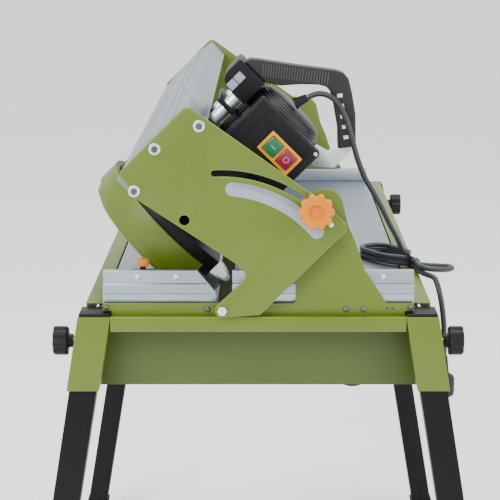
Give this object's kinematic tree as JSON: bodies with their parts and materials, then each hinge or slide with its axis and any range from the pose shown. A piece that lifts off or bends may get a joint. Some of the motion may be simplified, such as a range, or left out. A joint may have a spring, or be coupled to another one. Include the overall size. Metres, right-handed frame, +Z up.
{
  "type": "tile cutter",
  "caption": "Rail tile cutter on a splayed four-legged stand, with a sliding motor head tilted to 45 degrees, slotted table, fence, bevel lock knobs and a hanked mains lead.",
  "frame": {"origin": "on the floor, under the middle of the stand", "axes": "+X to the operator's right, +Y along the rail away from the near end, +Z up"},
  "size_m": [0.8172, 1.2196, 1.1617],
  "materials": {
    "green_paint": "satin powder coat",
    "tub_paint": "satin powder coat",
    "leg_paint": "satin black powder coat",
    "black_plastic": "moulded, fine grain",
    "grey_plastic": "moulded, fine grain",
    "aluminium": "brushed",
    "zinc_plate": "zinc plated",
    "blade_steel": "ground",
    "orange_plastic": "moulded",
    "bezel_plastic": "moulded",
    "green_button": "moulded",
    "red_button": "moulded",
    "rubber": "matt",
    "cord_rubber": "matt sheath"
  },
  "bodies": {
    "stand": {"leg_socket_near_left": "green_paint", "leg_near_left": "leg_paint", "foot_near_left": "rubber", "leg_socket_near_right": "green_paint", "leg_near_right": "leg_paint", "foot_near_right": "rubber", "leg_socket_far_left": "green_paint", "leg_far_left": "leg_paint", "foot_far_left": "rubber", "leg_socket_far_right": "green_paint", "leg_far_right": "leg_paint", "foot_far_right": "rubber", "side_rail_left": "green_paint", "side_rail_right": "green_paint", "end_rail_near": "green_paint", "end_rail_far": "green_paint", "end_plate_near": "green_paint", "end_plate_far": "green_paint", "water_tub": "tub_paint", "drain_plug": "black_plastic", "water_pump": "black_plastic", "table_left": "aluminium", "table_right": "aluminium", "fence_left": "aluminium", "fence_right": "aluminium", "fence_far": "aluminium", "pivot_bolt_near": "zinc_plate", "pivot_bolt_far": "zinc_plate", "cord": "cord_rubber", "cord_tail": "cord_rubber", "cord_hank": "cord_rubber", "plug": "black_plastic"},
    "head": {"tilt_bracket_near": "green_paint", "tilt_bracket_far": "green_paint", "guide_rail": "aluminium"},
    "carriage": {"carriage_hanger": "grey_plastic", "support_rods": "zinc_plate", "motor_body": "grey_plastic", "motor_cover": "black_plastic", "guard_inner": "black_plastic", "guard_outer": "green_paint", "switch_box": "black_plastic", "switch_bezel": "bezel_plastic", "handle": "black_plastic", "handle_bar": "zinc_plate", "cord_gland": "rubber"},
    "blade_spindle": {"blade": "blade_steel", "spindle": "zinc_plate"},
    "roller_set_near": {"rollers_near": "zinc_plate"},
    "roller_set_far": {"rollers_far": "zinc_plate"},
    "green_button": {"button_green": "green_button"},
    "red_button": {"button_red": "red_button"},
    "lock_knob_near": {"bevel_lock_near": "orange_plastic"},
    "lock_knob_far": {"bevel_lock_far": "orange_plastic"},
    "fence_stop": {"angle_stop": "black_plastic"},
    "fence_stop_knob": {"stop_knob": "orange_plastic"},
    "clamp_near_left": {"clamp_knob_near_left": "black_plastic"},
    "clamp_near_right": {"clamp_knob_near_right": "black_plastic"},
    "clamp_far_left": {"clamp_knob_far_left": "black_plastic"},
    "clamp_far_right": {"clamp_knob_far_right": "black_plastic"}
  },
  "joints": [
    {"name": "head_tilt", "type": "hinge", "parent": "stand", "child": "head", "pos_m": [-0.0549, 0, 0.8], "axis": [0, 1, 0], "range_deg": [0, 45], "deforming": ["cord"]},
    {"name": "carriage_slide", "type": "slide", "parent": "head", "child": "carriage", "axis": [0, 1, 0], "range_m": [0, 0.72], "deforming": ["cord"]},
    {"name": "blade_spin", "type": "hinge", "parent": "carriage", "child": "blade_spindle", "pos_m": [-0.13692, -0.348, 0.88202], "axis": [0.7071, 0, 0.7071], "continuous": true},
    {"name": "near_roller_spin", "type": "hinge", "parent": "carriage", "child": "roller_set_near", "pos_m": [-0.14315, -0.403, 1.03886], "axis": [0.7071, 0, 0.7071], "range_deg": [-3450, 0]},
    {"name": "far_roller_spin", "type": "hinge", "parent": "carriage", "child": "roller_set_far", "pos_m": [-0.14315, -0.293, 1.03886], "axis": [0.7071, 0, 0.7071], "range_deg": [-3450, 0]},
    {"name": "green_button_press", "type": "slide", "parent": "carriage", "child": "green_button", "axis": [0, 1, 0], "range_m": [0, 0.003], "stiffness_N_per_m": 600, "springref_m": -0.001},
    {"name": "red_button_press", "type": "slide", "parent": "carriage", "child": "red_button", "axis": [0, 1, 0], "range_m": [0, 0.003], "stiffness_N_per_m": 600, "springref_m": -0.001},
    {"name": "near_lock_turn", "type": "hinge", "parent": "stand", "child": "lock_knob_near", "pos_m": [0.08622, -0.6, 0.95619], "axis": [0, 1, 0], "range_deg": [0, 540]},
    {"name": "far_lock_turn", "type": "hinge", "parent": "stand", "child": "lock_knob_far", "pos_m": [0.08622, 0.6, 0.95619], "axis": [0, 1, 0], "range_deg": [-540, 0]},
    {"name": "fence_stop_slide", "type": "slide", "parent": "stand", "child": "fence_stop", "axis": [1, 0, 0], "range_m": [-0.02, 0.07]},
    {"name": "fence_stop_turn", "type": "hinge", "parent": "fence_stop", "child": "fence_stop_knob", "pos_m": [-0.178, -0.5262, 0.85], "axis": [0, 0, 1], "range_deg": [0, 540]},
    {"name": "clamp_near_left_turn", "type": "hinge", "parent": "stand", "child": "clamp_near_left", "pos_m": [-0.285, -0.551, 0.7445], "axis": [1, 0, 0], "range_deg": [0, 720]},
    {"name": "clamp_near_right_turn", "type": "hinge", "parent": "stand", "child": "clamp_near_right", "pos_m": [0.285, -0.551, 0.7445], "axis": [1, 0, 0], "range_deg": [0, 720]},
    {"name": "clamp_far_left_turn", "type": "hinge", "parent": "stand", "child": "clamp_far_left", "pos_m": [-0.285, 0.551, 0.7445], "axis": [1, 0, 0], "range_deg": [0, 720]},
    {"name": "clamp_far_right_turn", "type": "hinge", "parent": "stand", "child": "clamp_far_right", "pos_m": [0.285, 0.551, 0.7445], "axis": [1, 0, 0], "range_deg": [0, 720]}
  ],
  "couplings": [
    {"joint": "near_roller_spin", "follows": "carriage_slide", "rad_per_m": -83.333},
    {"joint": "far_roller_spin", "follows": "carriage_slide", "rad_per_m": -83.333}
  ]
}
